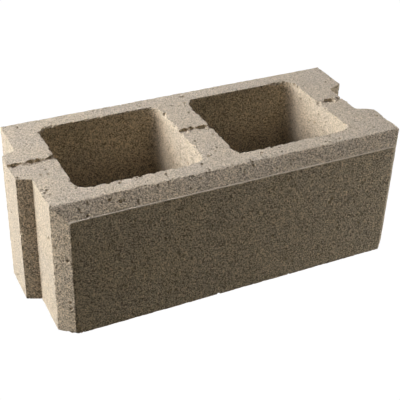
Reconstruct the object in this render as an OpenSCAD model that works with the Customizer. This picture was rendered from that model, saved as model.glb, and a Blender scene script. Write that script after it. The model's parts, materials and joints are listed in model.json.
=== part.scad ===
// Hollow concrete block, pressed in one piece, with two cores, a tongue on one
// end and a groove in the other. Chamfers frame its fair face along the top and
// down both ends, so that a wall of such blocks shows sunk joints.
// It stands as it was moulded: the cores are wider at the top, and the bar that
// carried the core formers left a shallow mark across the tops of the webs.
// Millimetres, +Z up. The front face looks along -Y and the tongue along -X.
// The origin is in the middle of the underside of the box around the block.

/* [Block] */
// Length from end face to end face, without the tongue
block_length = 400; // [330:1:600]
// Thickness from the front face to the back face
block_thickness = 185; // [150:1:300]
// Height of one course of blocks
block_height = 150; // [60:1:300]

/* [Chamfers of the front face] */
// How far the top chamfer runs back over the top
chamfer_back = 15; // [3:0.5:25]
// How far the top chamfer drops down the front face
chamfer_drop = 13.5; // [3:0.5:25]
// How far each end chamfer runs along the end and along the front
chamfer_side = 15; // [3:0.5:20]

/* [Walls around the cores] */
// Front shell, behind the top chamfer
front_shell = 19.5; // [10:0.5:35]
// Back shell
back_shell = 19.5; // [10:0.5:35]
// Web between the first core and the end face with the tongue
tongue_web = 34.5; // [20:0.5:50]
// Web between the two cores
centre_web = 36; // [20:0.5:60]
// Web between the second core and the floor of the groove
groove_web = 32; // [20:0.5:50]

/* [Cores] */
// Radius of the upright corners at the top of a core
core_radius = 14; // [8:0.5:25]
// How much each side of a core closes in from the top to the bottom
core_draft = 3; // [0:0.5:6]

/* [Tongue and groove] */
// How far the tongue stands out from its end face
tongue_depth = 15; // [8:0.5:25]
// Width of the tongue where it leaves the end face
tongue_root = 62; // [40:1:80]
// How much each side of the tongue closes in towards its tip
tongue_taper = 6.5; // [0:0.5:10]
// Gap between the tongue and each side of the groove it enters
groove_side_gap = 4; // [1:0.5:8]
// Gap between the tip of the tongue and the floor of the groove
groove_floor_gap = 4; // [1:0.5:10]
// Radius between the floor and each side of the groove
groove_radius = 4; // [1:0.5:6]

/* [Bar mark] */
// Width of the mark on top of the webs
bar_mark_width = 5; // [2:0.5:10]
// Depth of the mark
bar_mark_depth = 1.5; // [0.5:0.1:2.5]

/* [Hidden] */
// How far a cutting shape runs out past the face that it cuts
past = 2;
core_facets = 32;
groove_arc_steps = 6;

// The cores, the tongue and the groove share one upright middle plane, halfway
// between the back face and the line where the end chamfers meet the ends.
middle_y = (chamfer_side + block_thickness) / 2;

groove_depth = tongue_depth + groove_floor_gap;
groove_mouth = tongue_root + 2 * groove_side_gap;
side_slope = tongue_taper / tongue_depth;
side_angle = atan(side_slope);

core_front = chamfer_back + front_shell;
core_back = block_thickness - back_shell;
core_length = (block_length - tongue_web - centre_web - groove_web - groove_depth) / 2;
core_starts = [tongue_web, tongue_web + core_length + centre_web];

// The round former that leaves the bar mark, and its height over the top
bar_radius = (pow(bar_mark_width / 2, 2) + pow(bar_mark_depth, 2)) / (2 * bar_mark_depth);
bar_lift = bar_radius - bar_mark_depth;

origin_shift = [(tongue_depth - block_length) / 2, -block_thickness / 2, 0];

// Points along an arc from one angle to another
function arc(centre, radius, from, to, steps) =
    [for (i = [0:steps])
        let (angle = from + (to - from) * i / steps)
        centre + radius * [cos(angle), sin(angle)]];

// Radius of a core's corner at a height, growing evenly from bottom to top
function corner_radius(z) = core_radius - core_draft * (1 - z / block_height);

// Outline from above: front chamfered at both ends, tongue on the left
module outline() {
    tip = tongue_root / 2 - tongue_taper;
    polygon([
        [chamfer_side, 0],
        [block_length - chamfer_side, 0],
        [block_length, chamfer_side],
        [block_length, block_thickness],
        [0, block_thickness],
        [0, middle_y + tongue_root / 2],
        [-tongue_depth, middle_y + tip],
        [-tongue_depth, middle_y - tip],
        [0, middle_y - tongue_root / 2],
        [0, chamfer_side]
    ]);
}

// Wedge that leaves the chamfer between the top and the front face
module top_chamfer_cut() {
    pitch = chamfer_drop / chamfer_back;
    rotate([90, 0, 90])
        linear_extrude(block_length)
            polygon([
                [-past, block_height - chamfer_drop - past * pitch],
                [chamfer_back + past, block_height + past * pitch],
                [-past, block_height + past * pitch]
            ]);
}

// Upright slot for the next block's tongue, its sides parallel to the tongue's
module groove_cut() {
    mouth = groove_mouth / 2;
    corner_x = groove_radius - groove_depth;
    corner_y = mouth + corner_x * side_slope - groove_radius / cos(side_angle);
    translate([block_length, middle_y, -past])
        linear_extrude(block_height + 2 * past)
            polygon(concat(
                [[past, mouth + past * side_slope]],
                arc([corner_x, corner_y], groove_radius, 90 + side_angle, 180, groove_arc_steps),
                arc([corner_x, -corner_y], groove_radius, 180, 270 - side_angle, groove_arc_steps),
                [[past, -mouth - past * side_slope]]
            ));
}

// One tapered core with round corners, cut right through the block
module core_cut(start) {
    low = -past;
    high = block_height + past;
    corner_xs = [start + core_radius, start + core_length - core_radius];
    corner_ys = [core_front + core_radius, core_back - core_radius];
    hull()
        for (x = corner_xs, y = corner_ys)
            translate([x, y, low])
                cylinder(h = high - low, r1 = corner_radius(low), r2 = corner_radius(high), $fn = core_facets);
}

// Shallow round furrow along the middle of the top, from end to end
module bar_mark_cut() {
    length = block_length + tongue_depth + 2 * past;
    translate([-tongue_depth - past, middle_y, block_height + bar_lift])
        rotate([0, 90, 0])
            cylinder(h = length, r = bar_radius, $fn = 48);
}

module concrete_block() {
    color([0.64, 0.59, 0.53])
        translate(origin_shift)
            difference() {
                linear_extrude(block_height) outline();
                top_chamfer_cut();
                groove_cut();
                for (start = core_starts) core_cut(start);
                bar_mark_cut();
            }
}

concrete_block();
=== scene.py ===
# %% [markdown]
# # A hollow concrete block
# The block is one pressed piece of concrete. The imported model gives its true
# size and shape, with flat faces and sharp edges. This script gives it the
# surface of the real thing: open pores, crumbled edges, the torn line that the
# core bar left on top, a thin flash along the fair face, and sandy concrete.
#
# The work runs in this order: a material, the marks that are cut out of the
# block or stuck to it, one solid made from all of them, its fine relief, a
# lighter and cleaner mesh, the flash, and then the light and the camera.

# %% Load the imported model
import json
import math

import bmesh
import bpy
import numpy as np
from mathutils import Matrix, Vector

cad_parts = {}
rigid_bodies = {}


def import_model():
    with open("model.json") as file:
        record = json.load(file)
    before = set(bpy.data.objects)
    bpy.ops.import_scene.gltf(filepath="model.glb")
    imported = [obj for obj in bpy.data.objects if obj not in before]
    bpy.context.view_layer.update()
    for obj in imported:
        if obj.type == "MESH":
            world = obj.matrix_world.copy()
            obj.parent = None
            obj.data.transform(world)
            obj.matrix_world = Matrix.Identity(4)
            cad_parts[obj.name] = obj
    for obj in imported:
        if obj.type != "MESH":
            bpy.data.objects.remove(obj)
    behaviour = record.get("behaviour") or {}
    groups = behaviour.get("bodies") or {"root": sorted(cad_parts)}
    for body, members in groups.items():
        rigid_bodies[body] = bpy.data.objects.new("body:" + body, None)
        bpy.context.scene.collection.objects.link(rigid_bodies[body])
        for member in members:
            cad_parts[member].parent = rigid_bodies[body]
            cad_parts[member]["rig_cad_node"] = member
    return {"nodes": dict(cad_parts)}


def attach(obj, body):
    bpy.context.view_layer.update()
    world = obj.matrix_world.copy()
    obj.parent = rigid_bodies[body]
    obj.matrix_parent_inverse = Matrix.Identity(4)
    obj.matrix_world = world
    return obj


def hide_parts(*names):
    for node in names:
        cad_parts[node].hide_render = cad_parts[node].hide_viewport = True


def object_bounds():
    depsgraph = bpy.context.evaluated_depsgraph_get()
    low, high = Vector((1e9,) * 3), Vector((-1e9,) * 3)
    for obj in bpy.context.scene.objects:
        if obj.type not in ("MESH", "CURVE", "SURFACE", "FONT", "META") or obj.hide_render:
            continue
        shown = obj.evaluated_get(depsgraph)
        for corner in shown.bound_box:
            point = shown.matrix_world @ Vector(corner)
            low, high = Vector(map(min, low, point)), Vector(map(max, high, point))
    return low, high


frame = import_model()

import openvdb
from mathutils import Quaternion, Vector

cad_low, cad_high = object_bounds()
print("CAD box in mm:", [round((b - a) * 1000, 1) for a, b in zip(cad_low, cad_high)])

# %% [markdown]
# ## Writing nodes as expressions
# Shaders and Geometry Nodes both do their maths in nodes. A line such as
# `wear = depth * (1 - distance) ** 2.0` reads better than three nodes and their
# links, so `Wire` wraps an output socket and turns each operator into a Math
# node. Every other node comes from one method, `Graph.add`. It takes the node's
# type, its settings, and the values or wires for its inputs.

# %% Wires and graphs
MM = 0.001


def enabled(sockets, key):
    """The socket with that name or number, among those that the node's settings leave in use."""
    in_use = [s for s in sockets if s.enabled]
    if isinstance(key, int):
        return in_use[key]
    return next(s for s in in_use if s.name == key)


class Wire:
    """An output socket that can stand in an expression."""

    def __init__(self, graph, node, key=0):
        self.graph = graph
        self.node = node
        self.socket = enabled(node.outputs, key)

    def out(self, key):
        return Wire(self.graph, self.node, key)

    def math(self, operation, first, second):
        return self.graph.add("ShaderNodeMath", {"operation": operation}, {0: first, 1: second})

    def __add__(self, other):
        return self.math("ADD", self, other)

    def __radd__(self, other):
        return self.math("ADD", other, self)

    def __sub__(self, other):
        return self.math("SUBTRACT", self, other)

    def __rsub__(self, other):
        return self.math("SUBTRACT", other, self)

    def __mul__(self, other):
        return self.math("MULTIPLY", self, other)

    def __rmul__(self, other):
        return self.math("MULTIPLY", other, self)

    def __pow__(self, other):
        return self.math("POWER", self, other)

    def __gt__(self, other):
        return self.math("GREATER_THAN", self, other)


class Graph:
    """A node tree under construction."""

    def __init__(self, tree):
        self.tree = tree

    def add(self, kind, settings=None, inputs=None):
        node = self.tree.nodes.new(kind)
        for name, value in (settings or {}).items():
            setattr(node, name, value)
        for key, value in (inputs or {}).items():
            socket = enabled(node.inputs, key)
            if isinstance(value, Wire):
                self.tree.links.new(value.socket, socket)
            else:
                socket.default_value = value
        return Wire(self, node) if any(s.enabled for s in node.outputs) else None

    def ramp(self, value, low, high):
        """0 below low, 1 above high and a smooth step between them."""
        return self.add(
            "ShaderNodeMapRange",
            {"interpolation_type": "SMOOTHSTEP"},
            {"Value": value, "From Min": low, "From Max": high},
        )

    def noise(self, where, size, detail=2.0, roughness=0.5):
        """Noise from 0 to 1 whose lumps are about one size across."""
        return self.add(
            "ShaderNodeTexNoise",
            None,
            {"Vector": where, "Scale": 1 / size, "Detail": detail, "Roughness": roughness},
        )

    def scaled(self, vector, factor):
        return self.add("ShaderNodeVectorMath", {"operation": "SCALE"}, {0: vector, "Scale": factor})

    def moved(self, vector, offset):
        return self.add("ShaderNodeVectorMath", {"operation": "ADD"}, {0: vector, 1: offset})


# %% [markdown]
# ## The concrete
# Pressed concrete is sand held together by a little cement paste. Close up it
# is a bed of grains, each a shade lighter or darker than the next, with small
# pits where paste is missing, whose dark colour is painted shade. From further
# off it has faint clouds of colour.
# The material is built from those layers. All of them read the object's own
# coordinates in millimetres, so they run through the block like real grain and
# need no unwrapping. Walls that look to the front get stronger grains and darker
# pits, by a mask that reads the direction of the surface. That extra contrast is
# painted: it stands in for the contrast that shade and skimming light seem to give
# on the real block, and that the bump here does not reach. It is part of the
# colour, so it stays in any light.

# %% Concrete material
CEMENT = (0.65, 0.54, 0.39, 1.0)
CEMENT_WARM = (0.665, 0.545, 0.38, 1.0)
# Painted shade inside the small pits of the surface
PIT_SHADE_COLOUR = (0.10, 0.08, 0.055, 1.0)
# Pale paste of the flash, made brighter still as a painted highlight
PASTE_AND_HIGHLIGHT_COLOUR = (0.95, 0.84, 0.67, 1.0)
GRAIN_SIZE = 1.0
MOST_BRIGHTNESS = 1.45
# Extra grain contrast on walls that look to the front: painted shade and skimming light
FRONT_SHADE_CONTRAST = 1.2
# Where the flash runs, in millimetres behind the front face and above the underside
FLASH_Y = 0.6
FLASH_Z = 137.25


def mixed(graph, share, first, second, blend="MIX"):
    return graph.add(
        "ShaderNodeMix",
        {"data_type": "RGBA", "blend_type": blend},
        {"Factor": share, "A": first, "B": second},
    )


def grey(graph, value):
    return graph.add("ShaderNodeCombineColor", None, {"Red": value, "Green": value, "Blue": value})


def concrete_material():
    material = bpy.data.materials.new("concrete")
    material.use_nodes = True
    material.node_tree.nodes.clear()
    graph = Graph(material.node_tree)
    place = graph.scaled(graph.add("ShaderNodeTexCoord").out("Object"), 1 / MM)

    clouds = graph.noise(place, 45.0, 3.0)
    patches = graph.noise(graph.moved(place, (90, 40, 10)), 9.0, 2.0)
    sand = graph.noise(place, 1.0, 2.0, 0.7)
    grains = graph.add("ShaderNodeTexVoronoi", None, {"Vector": place, "Scale": 1 / GRAIN_SIZE})
    grain_shade = graph.add("ShaderNodeSeparateColor", None, {0: grains.out("Color")}).out("Red")
    specks = graph.noise(graph.moved(place, (20, 60, 50)), 1.4, 1.0, 0.5)
    # Small pits: a dent in the bump, and painted shade in the colour
    pits_and_shade = graph.ramp(specks + 0.20 * (patches - 0.5), 0.62, 0.68)
    # Mask of walls that look to the front, where contrast is painted in as shade and skimming light
    facing = graph.add("ShaderNodeSeparateXYZ", None, {0: graph.add("ShaderNodeTexCoord").out("Normal")})
    front_shade_mask = graph.ramp(0 - facing.out("Y"), 0.3, 0.95)

    paste = mixed(graph, graph.ramp(clouds, 0.35, 0.65), CEMENT, CEMENT_WARM)
    grain = 0.60 * (grain_shade - 0.5) + 0.90 * (sand - 0.5)
    # Grain contrast raised on front-facing walls as painted shade and skimming light
    grain_and_front_shade = grain * (1 + FRONT_SHADE_CONTRAST * front_shade_mask)
    brightness = 0.94 + grain_and_front_shade + 0.08 * (patches - 0.5) + 0.10 * (clouds - 0.5)
    capped = brightness.math("MINIMUM", brightness, MOST_BRIGHTNESS)
    toned = mixed(graph, 1.0, paste, grey(graph, capped), "MULTIPLY")
    # The pits are painted dark as shade, more so on walls that look to the front
    speckled = mixed(graph, pits_and_shade * (0.75 + 0.15 * front_shade_mask), toned, PIT_SHADE_COLOUR)
    # Along the flash the colour is pale paste and partly a painted highlight

    axes = graph.add("ShaderNodeSeparateXYZ", None, {0: place})
    above = axes.out("Z") - (cad_low.z / MM + FLASH_Z)
    behind = axes.out("Y") - (cad_low.y / MM + FLASH_Y)
    from_line = (above * above + behind * behind) ** 0.5
    paste_and_highlight = (1 - graph.ramp(from_line + 1.2 * (patches - 0.5), 0.7, 1.0)) * 0.9
    colour = mixed(graph, paste_and_highlight, speckled, PASTE_AND_HIGHLIGHT_COLOUR)

    height = sand * 2.2 + grain_shade * 0.45 + patches * 0.5 - pits_and_shade * 1.4
    normal = graph.add("ShaderNodeBump", None, {"Strength": 1.0, "Distance": MM, "Height": height})
    skin = graph.add(
        "ShaderNodeBsdfPrincipled",
        None,
        {"Base Color": colour, "Roughness": 0.92, "Normal": normal, "Specular IOR Level": 0.25},
    )
    graph.add("ShaderNodeOutputMaterial", None, {"Surface": skin})
    return material


concrete = concrete_material()
print("concrete:", len(concrete.node_tree.nodes), "nodes")

# %% [markdown]
# ## The bare block
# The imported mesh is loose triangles. A merged copy of it is a closed solid,
# which is what cutting and remeshing need. The sharp edges of that solid, the
# arrises, are kept as a mesh of their own, because crumbling follows them.

# %% Merged copy and its arrises
CREASE = math.radians(25)
SAME_POINT = 1e-6
CORES_FROM_ENDS = 45 * MM
CORES_FROM_FRONT = 30 * MM
CORES_FROM_BACK = 15 * MM


def as_object(name, mesh):
    made = bpy.data.objects.new(name, mesh)
    bpy.context.scene.collection.objects.link(made)
    return made


def merged_copy(node):
    mesh = frame["nodes"][node].data.copy()
    work = bmesh.new()
    work.from_mesh(mesh)
    bmesh.ops.remove_doubles(work, verts=work.verts, dist=SAME_POINT)
    work.to_mesh(mesh)
    work.free()
    return mesh


def sharp_edges(mesh, wanted):
    """The creased edges of a mesh that pass a test on their two ends, as a mesh of edges only."""
    work = bmesh.new()
    work.from_mesh(mesh)
    kept = [
        [v.co.copy() for v in e.verts]
        for e in work.edges
        if e.is_manifold and e.calc_face_angle() > CREASE and wanted(*[v.co for v in e.verts])
    ]
    work.free()
    edges = bmesh.new()
    for ends in kept:
        edges.edges.new([edges.verts.new(co) for co in ends])
    bmesh.ops.remove_doubles(edges, verts=edges.verts, dist=SAME_POINT)
    result = bpy.data.meshes.new("arrises")
    edges.to_mesh(result)
    edges.free()
    return result


def inside_core_box(co):
    """True inside a box that holds both cores and keeps clear of the block's outer edges."""
    along = cad_low.x + CORES_FROM_ENDS < co.x < cad_high.x - CORES_FROM_ENDS
    across = cad_low.y + CORES_FROM_FRONT < co.y < cad_high.y - CORES_FROM_BACK
    return along and across


def is_rim(a, b):
    return inside_core_box(a) and inside_core_box(b)


def is_outer(a, b):
    return not is_rim(a, b)


block_mesh = merged_copy("concrete_block")
bare_block = as_object("bare_block", block_mesh)
rims = as_object("core_rims", sharp_edges(block_mesh, is_rim))
arrises = as_object("outer_arrises", sharp_edges(block_mesh, is_outer))
print("rim edges:", len(rims.data.edges), "outer edges:", len(arrises.data.edges))

# %% [markdown]
# ## Places on the block
# Places are given in millimetres from the end face with the tongue, the front
# face and the underside. `spot` turns such a place into the frame's metres.
# `path` makes a mesh of edges through a few such places, which Geometry Nodes
# can turn into curves. Each path carries a girth for what grows along it.

# %% Spots and paths
TONGUE_DEPTH = 15 * MM
LEFT_END = cad_low.x + TONGUE_DEPTH
BLOCK_LENGTH = (cad_high.x - LEFT_END) / MM
BLOCK_THICKNESS = (cad_high.y - cad_low.y) / MM
BLOCK_HEIGHT = (cad_high.z - cad_low.z) / MM
CHAMFER_SIDE = 15
CHAMFER_BACK = 15
CHAMFER_DROP = 13.5
MARK_Y = (CHAMFER_SIDE + BLOCK_THICKNESS) / 2


def spot(x, y, z):
    return Vector((LEFT_END + x * MM, cad_low.y + y * MM, cad_low.z + z * MM))


def path(name, lines):
    """A mesh of straight runs. Each line is a start, an end and a girth in millimetres."""
    mesh = bpy.data.meshes.new(name)
    points = [spot(*place) for start, end, girth in lines for place in (start, end)]
    edges = [(2 * i, 2 * i + 1) for i in range(len(lines))]
    mesh.from_pydata(points, edges, [])
    girths = mesh.attributes.new("girth", "FLOAT", "POINT")
    girths.data.foreach_set("value", [girth * MM for _, _, girth in lines for _ in range(2)])
    return as_object(name, mesh)


print("block in mm:", round(BLOCK_LENGTH, 1), round(BLOCK_THICKNESS, 1), round(BLOCK_HEIGHT, 1))

# %% [markdown]
# ## Trees with named sizes
# Every Geometry Nodes tree here takes a mesh and a few sizes, ends in Realize
# Instances and Set Material, and makes a plain mesh each time it is run. The
# modifier's inputs are set by each socket's identifier. Most trees string
# points along edges, shift them, and pick a size between two named ones, so
# each of those three steps is a helper.

# %% Making and running a tree
SOCKETS = {float: "NodeSocketFloat", int: "NodeSocketInt", bpy.types.Object: "NodeSocketObject"}


def new_tree(name, sizes):
    tree = bpy.data.node_groups.new(name, "GeometryNodeTree")
    tree.interface.new_socket("Geometry", in_out="INPUT", socket_type="NodeSocketGeometry")
    for label, kind in sizes.items():
        tree.interface.new_socket(label, in_out="INPUT", socket_type=SOCKETS[kind])
    tree.interface.new_socket("Geometry", in_out="OUTPUT", socket_type="NodeSocketGeometry")
    graph = Graph(tree)
    return graph, graph.add("NodeGroupInput")


def points_along(graph, given):
    """Points along the edges of the tree's mesh, one every Spacing."""
    curves = graph.add("GeometryNodeMeshToCurve", None, {"Mesh": given})
    return graph.add(
        "GeometryNodeResampleCurve", {"mode": "LENGTH"}, {"Curve": curves, "Length": given.out("Spacing")}
    )


def shifted(graph, shape, offset):
    return graph.add("GeometryNodeSetPosition", None, {"Geometry": shape, "Offset": offset})


def between(given, low, high, share):
    """From one named size, where the share is 0, to another, where it is 1."""
    return given.out(low) + (given.out(high) - given.out(low)) * share


def close_tree(graph, shape):
    whole = graph.add("GeometryNodeRealizeInstances", None, {0: shape})
    dressed = graph.add("GeometryNodeSetMaterial", None, {"Geometry": whole, "Material": concrete})
    graph.add("NodeGroupOutput", None, {0: dressed})
    return graph.tree


def run_tree(tree, carrier, sizes):
    """The mesh that the tree makes from the carrier's mesh."""
    modifier = carrier.modifiers.new(tree.name, "NODES")
    modifier.node_group = tree
    for item in tree.interface.items_tree:
        if item.in_out == "INPUT" and item.name in sizes:
            modifier[item.identifier] = sizes[item.name]
    evaluation = bpy.context.evaluated_depsgraph_get()
    made = bpy.data.meshes.new_from_object(carrier.evaluated_get(evaluation), depsgraph=evaluation)
    carrier.modifiers.remove(modifier)
    print(tree.name, "on", carrier.name + ":", len(made.polygons), "faces")
    return made


# %% [markdown]
# ## A grain
# A missing grain leaves a hole of its own shape, and a loose grain is a lump of
# that shape. One rough pebble of eighty faces serves for both. It is turned at
# random and given its own size wherever it is used, so copies do not look alike.

# %% Rough pebble and random values
TURN = 2 * math.pi


def pebble(graph):
    ball = graph.add("GeometryNodeMeshIcoSphere", None, {"Radius": 1.0, "Subdivisions": 2})
    where = graph.add("GeometryNodeInputPosition")
    push = (graph.noise(where, 0.9, 1.0) - 0.5) * 0.9
    shift = graph.scaled(graph.add("GeometryNodeInputNormal"), push)
    return shifted(graph, ball.out("Mesh"), shift)


def random_share(graph, seed):
    limits = {"Min": 0.0, "Max": 1.0, "Seed": seed}
    return graph.add("FunctionNodeRandomValue", {"data_type": "FLOAT"}, limits)


def random_vector(graph, low, high, seed):
    limits = {"Min": low, "Max": high, "Seed": seed}
    return graph.add("FunctionNodeRandomValue", {"data_type": "FLOAT_VECTOR"}, limits)


def pebbles_at(graph, points, size, seed):
    turn = random_vector(graph, (0.0, 0.0, 0.0), (TURN, TURN, TURN), seed)
    return graph.add(
        "GeometryNodeInstanceOnPoints",
        None,
        {"Points": points, "Instance": pebble(graph), "Rotation": turn, "Scale": size},
    )


# %% [markdown]
# ## Open pores
# The mix is pressed nearly dry, so small holes stay open all over the surface.
# Most are the size of a grain and a few are several grains wide. Points are
# scattered over the faces, and a pebble sits at each. A random share raised to
# a power makes small pores common and large ones rare.

# %% Pores scattered over the block
def pores_tree():
    sizes = {
        "Pores per Square Metre": float, "Smallest": float, "Largest": float, "Rarity": float,
        "Seed": int,
    }
    graph, given = new_tree("open pores", sizes)
    points = graph.add(
        "GeometryNodeDistributePointsOnFaces",
        {"distribute_method": "RANDOM"},
        {"Mesh": given, "Density": given.out("Pores per Square Metre"), "Seed": given.out("Seed")},
    )
    growth = random_share(graph, given.out("Seed")) ** given.out("Rarity")
    size = between(given, "Smallest", "Largest", growth)
    return close_tree(graph, pebbles_at(graph, points, size, 5))


pores = run_tree(
    pores_tree(),
    bare_block,
    {"Pores per Square Metre": 9000.0, "Smallest": 0.6 * MM, "Largest": 2.1 * MM, "Rarity": 3.5, "Seed": 11},
)

# %% [markdown]
# ## Crumbled edges
# The edges of the block have lost grains, most of all at the rims of the cores,
# as fresh concrete may when it is stripped. The edges become curves, and pebbles
# are strung along them at an even spacing, each with a random size and a random
# shift. The same tree serves the rims and the outer arrises, with smaller sizes
# for the latter.

# %% Nicks along the rims and the arrises
def strung_tree(name):
    sizes = {
        "Spacing": float, "Smallest": float, "Largest": float, "Rarity": float,
        "Stray": float, "Seed": int,
    }
    graph, given = new_tree(name, sizes)
    points = points_along(graph, given)
    stray = graph.scaled(random_vector(graph, (-1.0, -1.0, -1.0), (1.0, 1.0, 1.0), 3), given.out("Stray"))
    strewn = shifted(graph, points, stray)
    growth = random_share(graph, given.out("Seed")) ** given.out("Rarity")
    size = between(given, "Smallest", "Largest", growth)
    return close_tree(graph, pebbles_at(graph, strewn, size, 8))


nick_tree = strung_tree("nicks")
rim_nicks = run_tree(
    nick_tree,
    rims,
    {"Spacing": 2.8 * MM, "Smallest": 0.5 * MM, "Largest": 2.6 * MM, "Rarity": 2.2, "Stray": 1.1 * MM,
     "Seed": 21},
)
edge_nicks = run_tree(
    nick_tree,
    arrises,
    {"Spacing": 3.5 * MM, "Smallest": 0.2 * MM, "Largest": 1.0 * MM, "Rarity": 5.0, "Stray": 0.4 * MM,
     "Seed": 31},
)

# %% [markdown]
# ## The torn line
# In a mould for hollow blocks a bar carries the core formers. The tops of the
# webs are torn where it seems to have lain: here a hole of several grains, there
# only a hairline. One line runs over each web, behind the middle of the furrow.
# Noise along it says how thick the tear is and how far it wanders. Pebbles
# overlap along it and are cut away, which leaves a ragged trench. A strip in
# front of it is roughened by small pits and by crumbs that stuck.

# %% Tears, pits and crumbs of the torn line
TOP = BLOCK_HEIGHT
# Start and end of each web along the block, in millimetres from the end face
WEB_SPANS = [(-15, 34.5), (173.5, 209.5), (349, 381)]
TEAR_BEHIND_MARK = 3.5
STRIP_BEFORE_MARK = 1.5


def over_webs(name, y):
    return path(name, [((start, y, TOP), (end, y, TOP), 1.0) for start, end in WEB_SPANS])


torn_line = over_webs("torn_line", MARK_Y + TEAR_BEHIND_MARK)
strip = over_webs("rough_strip", MARK_Y - STRIP_BEFORE_MARK)


def torn_line_tree():
    sizes = {"Spacing": float, "Thin": float, "Thick": float, "Wander": float, "Seed": int}
    graph, given = new_tree("torn line", sizes)
    points = points_along(graph, given)
    place = graph.scaled(graph.add("GeometryNodeInputPosition"), 1 / MM)
    drawn = graph.moved(place, graph.scaled((1.0, 1.0, 1.0), given.out("Seed") * 37.0))
    thickness = graph.ramp(graph.noise(drawn, 3.8, 1.0), 0.44, 0.60)
    girth = between(given, "Thin", "Thick", thickness)
    aside = graph.scaled((0.0, 1.0, 0.0), (graph.noise(drawn, 7.0, 2.0) - 0.5) * given.out("Wander"))
    down = graph.scaled((0.0, 0.0, -1.0), girth * 0.5)
    strewn = shifted(graph, points, graph.moved(aside, down))
    size = girth * (0.7 + 0.6 * random_share(graph, given.out("Seed")))
    return close_tree(graph, pebbles_at(graph, strewn, size, 6))


def strip_tree():
    sizes = {
        "Spacing": float, "Half Width": float, "Smallest": float, "Largest": float, "Sink": float,
        "Seed": int,
    }
    graph, given = new_tree("grains in a strip", sizes)
    points = points_along(graph, given)
    across = graph.scaled(
        random_vector(graph, (0.0, -1.0, 0.0), (0.0, 1.0, 0.0), given.out("Seed")), given.out("Half Width")
    )
    down = graph.scaled((0.0, 0.0, -1.0), given.out("Sink"))
    strewn = shifted(graph, points, graph.moved(across, down))
    size = between(given, "Smallest", "Largest", random_share(graph, 9) ** 2.0)
    return close_tree(graph, pebbles_at(graph, strewn, size, given.out("Seed")))


trenches = run_tree(
    torn_line_tree(),
    torn_line,
    {"Spacing": 0.7 * MM, "Thin": 0.5 * MM, "Thick": 2.7 * MM, "Wander": 6.0 * MM, "Seed": 1},
)
grain_strip = strip_tree()
strip_pits = run_tree(
    grain_strip,
    strip,
    {"Spacing": 0.6 * MM, "Half Width": 3.6 * MM, "Smallest": 0.6 * MM, "Largest": 2.0 * MM,
     "Sink": 0.3 * MM, "Seed": 1},
)
crumbs = run_tree(
    grain_strip,
    strip,
    {"Spacing": 0.9 * MM, "Half Width": 4.4 * MM, "Smallest": 0.6 * MM, "Largest": 1.5 * MM,
     "Sink": 1.0 * MM, "Seed": 2},
)

# %% [markdown]
# ## Slits in the top chamfer
# The top chamfer has short dark slits, all running down the slope, as if grains
# had been dragged there. Points are strung along the chamfer's upper edge and
# shifted at random down the slope. A short row of pebbles then hangs from each.

# %% Slits down the slope of the chamfer
SLOPE_LENGTH = math.hypot(CHAMFER_BACK, CHAMFER_DROP)
DOWN_SLOPE = (0.0, -CHAMFER_BACK / SLOPE_LENGTH, -CHAMFER_DROP / SLOPE_LENGTH)
GRAINS_PER_SLIT = 6
SLIT_STEP = tuple(part / (GRAINS_PER_SLIT - 1) for part in DOWN_SLOPE)


def slits_tree():
    sizes = {
        "Spacing": float, "Along": float, "Down": float, "Longest": float, "Smallest": float,
        "Largest": float, "Seed": int,
    }
    graph, given = new_tree("slits", sizes)
    points = points_along(graph, given)
    along = graph.scaled(
        random_vector(graph, (-1.0, 0.0, 0.0), (1.0, 0.0, 0.0), given.out("Seed")), given.out("Along")
    )
    down = graph.scaled(DOWN_SLOPE, given.out("Down") * random_share(graph, 13))
    tops = shifted(graph, points, graph.moved(along, down))
    row = graph.add(
        "GeometryNodeMeshLine",
        None,
        {"Count": GRAINS_PER_SLIT, "Start Location": (0.0, 0.0, 0.0), "Offset": SLIT_STEP},
    )
    length = given.out("Longest") * (0.15 + 0.85 * random_share(graph, 14) ** 2.0)
    rows = graph.add("GeometryNodeInstanceOnPoints", None, {"Points": tops, "Instance": row, "Scale": length})
    grains = graph.add("GeometryNodeRealizeInstances", None, {0: rows})
    size = between(given, "Smallest", "Largest", random_share(graph, 15))
    return close_tree(graph, pebbles_at(graph, grains, size, 16))


chamfer_edge = path(
    "chamfer_edge", [((25, CHAMFER_BACK, TOP), (BLOCK_LENGTH - 20, CHAMFER_BACK, TOP), 1.0)]
)
slits = run_tree(
    slits_tree(),
    chamfer_edge,
    {"Spacing": 20.0 * MM, "Along": 12.0 * MM, "Down": 13.0 * MM, "Longest": 5.0 * MM,
     "Smallest": 0.8 * MM, "Largest": 1.3 * MM, "Seed": 3},
)

# %% [markdown]
# ## Single chips
# Every block carries a few marks of its own. This one has a worn corner at the
# bottom of the front left edge, four small chips along other edges, a thin seam
# down the wall of the middle web, and two crumbs that hang on in the groove.
# Each is a short run, and pebbles overlap along it.

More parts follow.
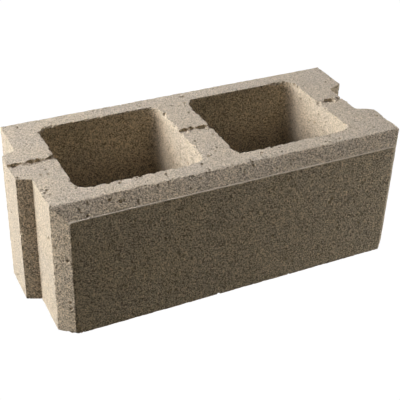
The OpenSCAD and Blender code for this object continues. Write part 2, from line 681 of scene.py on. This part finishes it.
# %% Chips, a seam and stuck crumbs
MIDDLE_WEB = WEB_SPANS[1][0]
GROOVE_FLOOR = WEB_SPANS[2][1]
CHIPS = [
    # start, end, girth
    ((CHAMFER_SIDE, 0, 0), (CHAMFER_SIDE - 2, 1, 0), 2.0),
    ((8, 7, 0), (9, 6, 0), 1.5),
    ((0, CHAMFER_SIDE, TOP), (2, CHAMFER_SIDE, TOP), 1.5),
    ((90, CHAMFER_BACK, TOP), (100, CHAMFER_BACK, TOP), 1.2),
    ((BLOCK_LENGTH, 35, TOP), (BLOCK_LENGTH, 45, TOP), 1.5),
    ((MIDDLE_WEB, MARK_Y, TOP), (MIDDLE_WEB, MARK_Y - 2, TOP - 3), 1.2),
    ((MIDDLE_WEB, MARK_Y - 2, TOP - 3), (MIDDLE_WEB - 0.5, MARK_Y - 2, TOP - 30), 0.8),
]
STUCK = [
    ((GROOVE_FLOOR, MARK_Y + 4, TOP - 2), (GROOVE_FLOOR, MARK_Y, TOP - 2), 1.5),
    ((GROOVE_FLOOR, MARK_Y - 5, TOP - 2), (GROOVE_FLOOR + 1, MARK_Y - 7, TOP - 2), 1.5),
]


def run_of_grains_tree():
    graph, given = new_tree("run of grains", {"Spacing": float, "Stray": float})
    points = points_along(graph, given)
    girth = graph.add("GeometryNodeInputNamedAttribute", {"data_type": "FLOAT"}, {"Name": "girth"})
    aside = random_vector(graph, (-1.0, -1.0, -0.4), (1.0, 1.0, 0.4), 2)
    stray = graph.scaled(aside, girth * given.out("Stray"))
    strewn = shifted(graph, points, stray)
    size = girth * (0.55 + 0.65 * random_share(graph, 4))
    return close_tree(graph, pebbles_at(graph, strewn, size, 6))


grain_run = run_of_grains_tree()
chips = run_tree(grain_run, path("chips", CHIPS), {"Spacing": 0.8 * MM, "Stray": 0.4})
stuck = run_tree(grain_run, path("stuck_crumb", STUCK), {"Spacing": 0.8 * MM, "Stray": 0.2})

# %% [markdown]
# ## One solid from all the parts
# Thousands of overlapping pebbles would defeat an ordinary Boolean. A distance
# field has no such trouble: it stores, at each point of a fine grid, how far the
# surface is, with a minus sign inside. The union of two solids is then the
# smaller of two numbers, and cutting one from another is the larger of the
# first and the negative of the second. The field is read back as a closed mesh.

# %% Distance fields
VOXEL = 0.7 * MM
BAND = 3.0
MARGIN = 6

lattice = openvdb.createLinearTransform(voxelSize=VOXEL)
first_cell = [int(math.floor(c / VOXEL)) - MARGIN for c in cad_low]
last_cell = [int(math.ceil(c / VOXEL)) + MARGIN for c in cad_high]
cell_counts = [b - a for a, b in zip(first_cell, last_cell)]


def distance_field(mesh):
    corners = np.empty(len(mesh.vertices) * 3, np.float32)
    mesh.vertices.foreach_get("co", corners)
    mesh.calc_loop_triangles()
    triangles = np.empty(len(mesh.loop_triangles) * 3, np.int32)
    mesh.loop_triangles.foreach_get("vertices", triangles)
    grid = openvdb.FloatGrid.createLevelSetFromPolygons(
        corners.reshape(-1, 3),
        triangles=triangles.reshape(-1, 3).astype(np.uint32),
        transform=lattice,
        halfWidth=BAND,
    )
    field = np.empty(cell_counts, np.float32)
    grid.copyToArray(field, ijk=first_cell)
    return field


def mesh_from_field(name, field):
    grid = openvdb.FloatGrid(BAND * VOXEL)
    grid.transform = lattice
    grid.copyFromArray(field, ijk=first_cell)
    points, _, quads = grid.convertToPolygons(isovalue=0.0, adaptivity=0.0)
    mesh = bpy.data.meshes.new(name)
    mesh.from_pydata(points, [], quads)
    return mesh


solid = distance_field(bare_block.data)
for added in (crumbs, stuck):
    np.minimum(solid, distance_field(added), out=solid)
for removed in (pores, rim_nicks, edge_nicks, trenches, strip_pits, slits, chips):
    np.maximum(solid, -distance_field(removed), out=solid)
cut_block = as_object("cut_block", mesh_from_field("cut_block", solid))
print("cut block:", len(cut_block.data.vertices), "points on a grid of", cell_counts)

# %% [markdown]
# ## Fine relief
# Reading the field back leaves flat faces a little wavy and every arris a
# little blunt. So each point of the dense mesh that lies close to a face of the
# bare block is first moved onto it, and one close to an arris onto the arris.
# Points that land on each other there are merged. Points in pores and tears are
# mostly further away and stay. Then the surface gets low lumps, and the arrises
# are worn, here more and there less. Both move points inwards, so the block
# keeps its true size. The distance to the nearest arris, from a Proximity node,
# says how much wear is added.

# %% Weathering
FACE_SHARE_OF_SNAP = 0.6


def weather_tree():
    sizes = {
        "Bare Block": bpy.types.Object, "Arrises": bpy.types.Object, "Snap": float, "Merge": float,
        "Lumps": float, "Edge Wear": float, "Edge Reach": float,
    }
    graph, given = new_tree("weathering", sizes)
    solid = graph.add("GeometryNodeObjectInfo", None, {"Object": given.out("Bare Block")}).out("Geometry")
    lines = graph.add("GeometryNodeObjectInfo", None, {"Object": given.out("Arrises")}).out("Geometry")

    def pulled(shape, target, element, reach):
        nearest = graph.add("GeometryNodeProximity", {"target_element": element}, {0: target})
        close = reach > nearest.out("Distance")
        return graph.add(
            "GeometryNodeSetPosition",
            None,
            {"Geometry": shape, "Selection": close, "Position": nearest.out("Position")},
        )

    on_faces = pulled(given, solid, "FACES", given.out("Snap") * FACE_SHARE_OF_SNAP)
    on_edges = pulled(on_faces, lines, "EDGES", given.out("Snap"))
    single = graph.add(
        "GeometryNodeMergeByDistance", None, {"Geometry": on_edges, "Distance": given.out("Merge")}
    )

    place = graph.scaled(graph.add("GeometryNodeInputPosition"), 1 / MM)
    lumps = graph.noise(graph.moved(place, (30, 70, 20)), 14.0, 1.0)
    wear_noise = graph.noise(graph.moved(place, (15, 25, 35)), 8.0, 2.0)
    near = graph.add("GeometryNodeProximity", {"target_element": "EDGES"}, {0: lines}).out("Distance")
    closeness = (1 - graph.ramp(near, 0.0, given.out("Edge Reach"))) ** 2.0
    wear = given.out("Edge Wear") * closeness * graph.ramp(wear_noise, 0.35, 0.75)

    inwards = graph.scaled(graph.add("GeometryNodeInputNormal"), (given.out("Lumps") * lumps + wear) * -1.0)
    moved = shifted(graph, single, inwards)
    smooth = graph.add("GeometryNodeSetShadeSmooth", None, {0: moved, "Shade Smooth": True})
    return close_tree(graph, smooth)


all_arrises = as_object("all_arrises", sharp_edges(block_mesh, lambda a, b: True))
weathered = run_tree(
    weather_tree(),
    cut_block,
    {"Bare Block": bare_block, "Arrises": all_arrises, "Snap": 0.62 * VOXEL, "Merge": 0.08 * MM,
     "Lumps": 0.10 * MM, "Edge Wear": 0.5 * MM, "Edge Reach": 2.5 * MM},
)

# %% [markdown]
# ## A lighter mesh
# The field gave far more points than the shape needs. Decimate merges the ones
# that matter least, and keeps small triangles where the surface turns sharply,
# around pores, rims and the torn line.

# %% Decimate
MOST_TRIANGLES = 190000


def lighter(mesh, most):
    carrier = as_object("carrier", mesh)
    mesh.calc_loop_triangles()
    thin = carrier.modifiers.new("lighter", "DECIMATE")
    thin.ratio = most / len(mesh.loop_triangles)
    evaluation = bpy.context.evaluated_depsgraph_get()
    made = bpy.data.meshes.new_from_object(carrier.evaluated_get(evaluation), depsgraph=evaluation)
    bpy.data.objects.remove(carrier)
    return made


light_mesh = lighter(weathered, MOST_TRIANGLES)
print("lighter mesh:", len(light_mesh.polygons), "faces")

# %% [markdown]
# ## One clean skin
# Where pebbles meet deep inside the block they leave closed bubbles that nobody
# sees, and where points were merged the skin can fold flat on itself. A mesh
# that is to be cut, weighed or printed should have neither. Only the largest
# connected skin is kept, and it spreads only across edges of two faces, so that
# flaps hanging from it go too. Faces that share all their corners lie flat on
# each other and go in pairs, and edges left with no face go as well. The last
# number printed counts the edges that do not have exactly two faces. It is 0
# when the skin is sound.

# %% Keep the outer skin
CLOSE = 0.01 * MM


def drop_flat_folds(work):
    """Removes faces that lie on each other. Of an odd number one stays."""
    stacks = {}
    for face in work.faces:
        stacks.setdefault(frozenset(v.index for v in face.verts), []).append(face)
    spare = [face for stack in stacks.values() if len(stack) > 1 for face in stack[len(stack) % 2:]]
    bmesh.ops.delete(work, geom=spare, context="FACES")
    return len(spare)


def largest_skin(work):
    """Removes bubbles and loose flaps: all that is not joined to the largest skin by edges of two faces."""
    unseen = set(work.faces)
    skins = []
    while unseen:
        skin = []
        queue = [unseen.pop()]
        while queue:
            face = queue.pop()
            skin.append(face)
            near = {other for edge in face.edges if edge.is_manifold for other in edge.link_faces} & unseen
            unseen -= near
            queue.extend(near)
        skins.append(skin)
    skins.sort(key=len)
    bmesh.ops.delete(work, geom=[face for skin in skins[:-1] for face in skin], context="FACES")
    return len(skins) - 1


def clean_skin(mesh):
    work = bmesh.new()
    work.from_mesh(mesh)
    bmesh.ops.triangulate(work, faces=work.faces)
    bmesh.ops.dissolve_degenerate(work, edges=work.edges, dist=CLOSE)
    work.verts.index_update()
    folds = drop_flat_folds(work)
    bubbles = largest_skin(work)
    wires = [edge for edge in work.edges if not edge.link_faces]
    bmesh.ops.delete(work, geom=wires, context="EDGES")
    odd = sum(1 for edge in work.edges if len(edge.link_faces) != 2)
    print("flat folds:", folds, "bubbles and flaps:", bubbles, "bare edges:", len(wires))
    print("odd edges left:", odd)
    result = bpy.data.meshes.new("block_surface")
    work.to_mesh(result)
    work.free()
    return result


block_surface = clean_skin(light_mesh)

# %% [markdown]
# ## The flash
# Along the lower edge of the top chamfer runs a thin pale thread of paste, as is
# pressed out where two parts of a mould meet. Its brightness is partly the
# paste's own colour and partly a painted highlight in the material. A curve
# along the edge gets a radius that wanders with noise, and a small round section
# is swept along it. The thread overlaps the block and is not fused to it.

# %% Thread of paste along the fair face
FLASH_START = CHAMFER_SIDE + 0.5
FLASH_END = BLOCK_LENGTH - CHAMFER_SIDE
FLASH_CHANGE = 170.0
FLASH = [
    ((FLASH_START, FLASH_Y, FLASH_Z), (FLASH_CHANGE, FLASH_Y, FLASH_Z), 0.55),
    ((FLASH_CHANGE, FLASH_Y, FLASH_Z), (FLASH_END, FLASH_Y, FLASH_Z), 0.42),
]


def flash_tree():
    graph, given = new_tree("flash", {"Spacing": float, "Wander": float})
    points = points_along(graph, given)
    place = graph.scaled(graph.add("GeometryNodeInputPosition"), 1 / MM)
    slow_noise = {"Vector": place, "Scale": 0.12, "Detail": 3.0}
    drift = graph.add("ShaderNodeTexNoise", None, slow_noise).out("Color")
    centred = graph.moved(drift, (-0.5, -0.5, -0.5))
    strewn = shifted(graph, points, graph.scaled(centred, given.out("Wander")))
    girth = graph.add("GeometryNodeInputNamedAttribute", {"data_type": "FLOAT"}, {"Name": "girth"})
    radius = girth * (0.5 + graph.noise(place, 4.0, 2.0))
    section = graph.add("GeometryNodeCurvePrimitiveCircle", None, {"Resolution": 6, "Radius": 1.0})
    swept = graph.add(
        "GeometryNodeCurveToMesh",
        None,
        {"Curve": strewn, "Profile Curve": section, "Scale": radius, "Fill Caps": True},
    )
    return close_tree(graph, swept)


flash = run_tree(flash_tree(), path("flash_line", FLASH), {"Spacing": 1.5 * MM, "Wander": 0.5 * MM})

# %% [markdown]
# ## The finished piece
# Block and flash become one mesh, which rides on the only body and stands for
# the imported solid.

# %% Join, ride and replace
SMOOTH_BELOW = math.radians(38)


def kept_in_box(mesh):
    """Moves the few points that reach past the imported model's box back to its sides."""
    corners = np.empty(len(mesh.vertices) * 3, np.float32)
    mesh.vertices.foreach_get("co", corners)
    inside = np.clip(corners.reshape(-1, 3), np.array(cad_low), np.array(cad_high))
    mesh.vertices.foreach_set("co", inside.ravel().astype(np.float32))


def joined(name, meshes):
    whole = bmesh.new()
    for mesh in meshes:
        whole.from_mesh(mesh)
    result = bpy.data.meshes.new(name)
    whole.to_mesh(result)
    whole.free()
    result.materials.append(concrete)
    kept_in_box(result)
    result.shade_smooth()
    result.set_sharp_from_angle(angle=SMOOTH_BELOW)
    return result


piece = as_object("cast_block", joined("cast_block", [block_surface, flash]))
for extra in [o for o in bpy.context.scene.objects if o.type == "MESH" and o is not piece]:
    if "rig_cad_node" not in extra:
        bpy.data.objects.remove(extra)

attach(piece, "root")
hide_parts("concrete_block")
piece.data.calc_loop_triangles()
print("cast block:", len(piece.data.loop_triangles), "triangles")

# %% [markdown]
# ## Floor and light
# The block stands on a plain white floor that glows evenly, so it shows no
# shadow. Two broad lights stand to the left and a little behind, low enough to
# rake the top. A small one close by on the right skims along the front, which
# brings out its grain, and lights the chamfer at that end. One from above and
# behind cools the top, and a weak one in front fills the shade.

# %% Stage
FLOOR_HALF = 12.0
FLOOR_GLOW = 1.02
FAR = 2.2
NEAR = 1.1


def plain_floor():
    mesh = bpy.data.meshes.new("floor")
    signs = ((-1, -1), (1, -1), (1, 1), (-1, 1))
    corners = [(x * FLOOR_HALF, y * FLOOR_HALF, cad_low.z) for x, y in signs]
    mesh.from_pydata(corners, [], [(0, 1, 2, 3)])
    floor = as_object("floor", mesh)
    material = bpy.data.materials.new("white_floor")
    material.use_nodes = True
    material.node_tree.nodes.clear()
    graph = Graph(material.node_tree)
    glow = graph.add("ShaderNodeEmission", None, {"Color": (1.0, 1.0, 1.0, 1.0), "Strength": FLOOR_GLOW})
    graph.add("ShaderNodeOutputMaterial", None, {"Surface": glow})
    mesh.materials.append(material)
    floor.visible_diffuse = False
    floor.visible_glossy = False


def soft_light(name, round_from_back, height, distance, size, energy, colour):
    """A round area light aimed at the block, placed by two angles in degrees: round from +Y, and up."""
    lamp = bpy.data.lights.new(name, "AREA")
    lamp.shape = "DISK"
    lamp.size = size
    lamp.energy = energy
    lamp.color = colour
    made = bpy.data.objects.new(name, lamp)
    bpy.context.scene.collection.objects.link(made)
    turn = math.radians(round_from_back)
    rise = math.radians(height)
    towards = Vector((math.sin(turn) * math.cos(rise), math.cos(turn) * math.cos(rise), math.sin(rise)))
    centre = (cad_low + cad_high) / 2
    made.location = centre + towards * distance
    made.rotation_mode = "QUATERNION"
    made.rotation_quaternion = (centre - made.location).to_track_quat("-Z", "Y")
    return made


def room(strength, colour):
    world = bpy.data.worlds.new("room")
    world.use_nodes = True
    world.node_tree.nodes.clear()
    graph = Graph(world.node_tree)
    seen = graph.add("ShaderNodeLightPath").out("Is Camera Ray")
    white = graph.add("ShaderNodeBackground", None, {"Color": (1.0, 1.0, 1.0, 1.0), "Strength": 1.0})
    soft = graph.add("ShaderNodeBackground", None, {"Color": colour, "Strength": strength})
    both = graph.add("ShaderNodeMixShader", None, {0: seen, 1: soft, 2: white})
    graph.add("ShaderNodeOutputWorld", None, {"Surface": both})
    bpy.context.scene.world = world


plain_floor()
room(0.015, (1.0, 0.88, 0.70, 1.0))
lights = [
    soft_light("left_light", -75, 25, FAR, 1.0, 60.0, (1.0, 0.97, 0.99)),
    soft_light("back_left_light", -54, 14, FAR, 1.0, 60.0, (0.80, 0.88, 1.0)),
    soft_light("right_light", 104, -1, NEAR, 0.2, 7.2, (0.97, 0.98, 1.0)),
    soft_light("top_light", 0, 60, FAR, 1.2, 32.0, (0.70, 0.77, 1.0)),
    soft_light("front_fill", 172, 25, FAR, 0.8, 6.1, (1.0, 0.91, 0.73)),
]

scene = bpy.context.scene
scene.view_settings.view_transform = "Standard"
scene.view_settings.look = "None"
print("lights:", len(lights))

# %% [markdown]
# ## Camera
# The block is seen from the front left and above, through a long lens. The
# camera's place is in metres from the origin. Its direction is two angles,
# round from +Y and down, and it leans a touch to one side.

# %% Camera
LENS = 82.25
CAMERA_PLACE = Vector((-0.3848, -0.7745, 0.6268))
LOOK_AZIMUTH = math.radians(26.668)
LOOK_DOWN = math.radians(33.123)
LEAN = math.radians(1.918)

view_camera = bpy.data.objects.new("camera", bpy.data.cameras.new("camera"))
scene.collection.objects.link(view_camera)
view_camera.data.lens = LENS
view_camera.data.clip_end = 100.0
ahead = Vector((
    math.sin(LOOK_AZIMUTH) * math.cos(LOOK_DOWN),
    math.cos(LOOK_AZIMUTH) * math.cos(LOOK_DOWN),
    -math.sin(LOOK_DOWN),
))
view_camera.location = CAMERA_PLACE
view_camera.rotation_mode = "QUATERNION"
view_camera.rotation_quaternion = ahead.to_track_quat("-Z", "Y") @ Quaternion((0, 0, 1), LEAN)
scene.camera = view_camera
